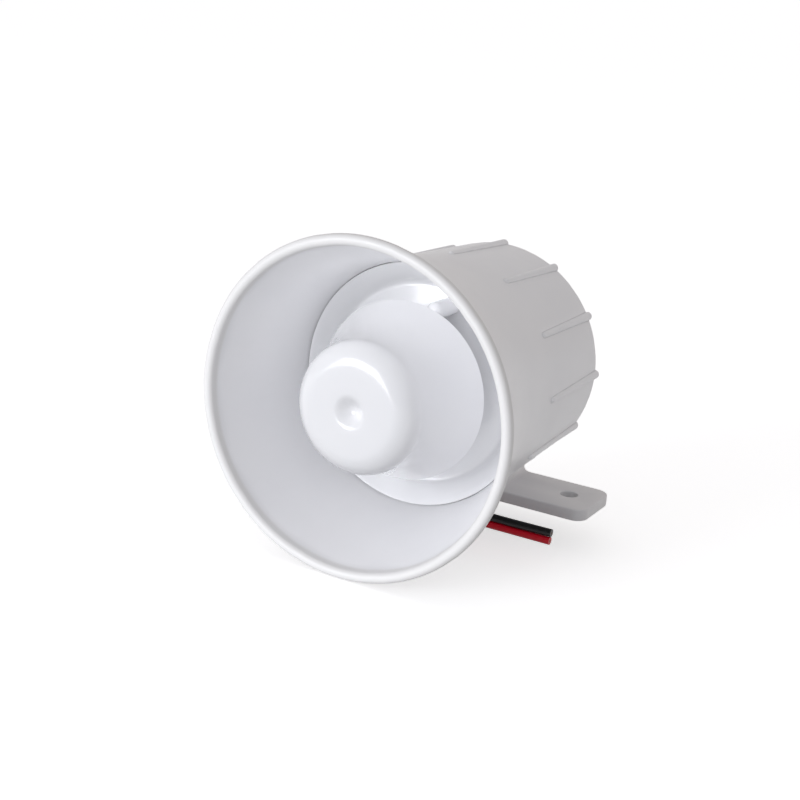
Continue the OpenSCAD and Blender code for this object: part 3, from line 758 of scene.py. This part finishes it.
def make_leg(shape, angle):
    """A round leg from the bell's edge back to the dish, domed where it leaves the bell."""
    leg_r, off_axis, back = 2.4, 23.8, 39.9
    dome = [(0.5, 27.6), (1.2, 27.95), (1.8, 28.4), (2.2, 28.95), (leg_r, 29.7)]
    rows = dome + [(leg_r, back - 0.2), (leg_r - 0.2, back)]
    across = Vector((cos(angle), 0, sin(angle)))
    around = Vector((-sin(angle), 0, cos(angle)))
    loops = []
    for radius, depth in rows:
        centre = across * off_axis + Vector((0, MOUTH_Y + depth, AXIS_Z))
        loops.append([shape.verts.new((centre + across * radius * cos(t) + around * radius * sin(t)) * MM)
                      for t in even_angles(32)])
    bridge_all(shape, loops, ends=True)


# ---------------------------------------------------------------- carried-over CAD nodes

def dress_cad_nodes():
    """Each CAD node that stays gets the node material of its slot in the record."""
    for part in frame["record"]["subparts"]:
        node = frame["nodes"][part["node"]]
        node.data.materials.clear()
        node.data.materials.append(LOOKS[part["material_slot"]])


# ---------------------------------------------------------------- floor and light

FLOOR_RADIUS_M = 45
FLOOR_GAP = 0.2


def make_floor():
    """A plain pale floor just under the rim. It glows a little to stay white, but lights nothing."""
    shape = bmesh.new()
    bmesh.ops.create_circle(shape, cap_ends=True, segments=96, radius=FLOOR_RADIUS_M)
    mesh = bpy.data.meshes.new("floor")
    shape.to_mesh(mesh)
    shape.free()
    paper = Surface("floor_paper")
    paper.colour(paper.mixed(paper.noise(60), (0.93, 0.93, 0.93), (0.95, 0.95, 0.95)))
    paper.rough(paper.noise(5), 0.8, 0.9)
    paper.shader.inputs["Emission Color"].default_value = (1, 1, 1, 1)
    paper.shader.inputs["Emission Strength"].default_value = 0.5
    mesh.materials.append(paper.material)
    floor = bpy.data.objects.new("floor", mesh)
    floor.location.z = SHELL_LOW.z - FLOOR_GAP * MM
    bpy.context.scene.collection.objects.link(floor)
    floor.visible_diffuse = False


def softbox(name, place, size, power, tint):
    """An area light at that place in millimetres, turned towards the horn."""
    light = bpy.data.lights.new(name, "AREA")
    light.shape = "RECTANGLE"
    light.size, light.size_y = size[0] * MM, size[1] * MM
    light.energy = power
    light.color = tint
    box = bpy.data.objects.new(name, light)
    aim = Vector((0, MOUTH_Y / 2, AXIS_Z)) - Vector(place)
    turn = aim.to_track_quat("-Z", "Y").to_matrix().to_4x4()
    box.matrix_world = Matrix.Translation(Vector(place) * MM) @ turn
    bpy.context.scene.collection.objects.link(box)
    return box


# Brightness of the studio from straight down (0) over the horizon (0.5) to straight up (1)
SKY = ((0.0, 0.06), (0.4, 0.16), (0.5, 0.64), (0.66, 0.64), (1.0, 0.36))
SKY_FRONT = (1.05, 1.07, 1.13)
SKY_BACK = (1.1, 1.045, 1.015)


def make_world():
    """A studio that is brightest round the horizon, cooler in front of the horn and warmer behind it."""
    world = bpy.data.worlds.new("studio")
    world.use_nodes = True
    nodes, links = world.node_tree.nodes, world.node_tree.links
    split = nodes.new("ShaderNodeSeparateXYZ")
    links.new(nodes.new("ShaderNodeTexCoord").outputs["Generated"], split.inputs["Vector"])

    def from_0_to_1(direction):
        share = nodes.new("ShaderNodeMapRange")
        share.inputs["From Min"].default_value = -1
        links.new(direction, share.inputs["Value"])
        return share.outputs["Result"]

    ramp = nodes.new("ShaderNodeValToRGB")
    links.new(from_0_to_1(split.outputs["Z"]), ramp.inputs["Fac"])
    stops = ramp.color_ramp.elements
    while len(stops) < len(SKY):
        stops.new(0.5)
    for stop, (place, level) in zip(stops, SKY):
        stop.position = place
        stop.color = (level, level, level, 1)
    tint = nodes.new("ShaderNodeMix")
    tint.data_type = "RGBA"
    tint.inputs[6].default_value = (*SKY_FRONT, 1)
    tint.inputs[7].default_value = (*SKY_BACK, 1)
    links.new(from_0_to_1(split.outputs["Y"]), tint.inputs["Factor"])
    both = nodes.new("ShaderNodeMix")
    both.data_type = "RGBA"
    both.blend_type = "MULTIPLY"
    both.inputs["Factor"].default_value = 1
    links.new(ramp.outputs["Color"], both.inputs[6])
    links.new(tint.outputs[2], both.inputs[7])
    links.new(both.outputs[2], nodes["Background"].inputs["Color"])
    bpy.context.scene.world = world


def make_light():
    """The studio, a large key at the front left, and a bounce from below for shell and dish only."""
    make_world()
    softbox("key", (-325, -830, 150), (470, 470), 4.8, (0.945, 0.96, 1))
    fill = softbox("fill", (-60, -560, -260), (900, 420), 1.7, (0.95, 0.965, 1))
    lit, blocking = bpy.data.collections.new("lit_by_fill"), bpy.data.collections.new("blocking_fill")
    for name in ("horn_shell_skin", "throat_dish_skin"):
        lit.objects.link(bpy.data.objects[name])
    for name in ("horn_shell_skin", "throat_dish_skin", "horn_bullet_skin"):
        blocking.objects.link(bpy.data.objects[name])
    fill.light_linking.receiver_collection = lit
    fill.light_linking.blocker_collection = blocking
    bpy.context.scene.view_settings.view_transform = "Standard"


LOOKS = make_looks()
make_camera()
make_lead("lead_black_jacket", BLACK_ROUTE, "lead_black", "pvc_black")
make_lead("lead_red_jacket", RED_ROUTE, "lead_red", "pvc_red")
make_shell()
make_foot()
make_outlet()
make_dish()
make_bullet()
dress_cad_nodes()
make_floor()
make_light()
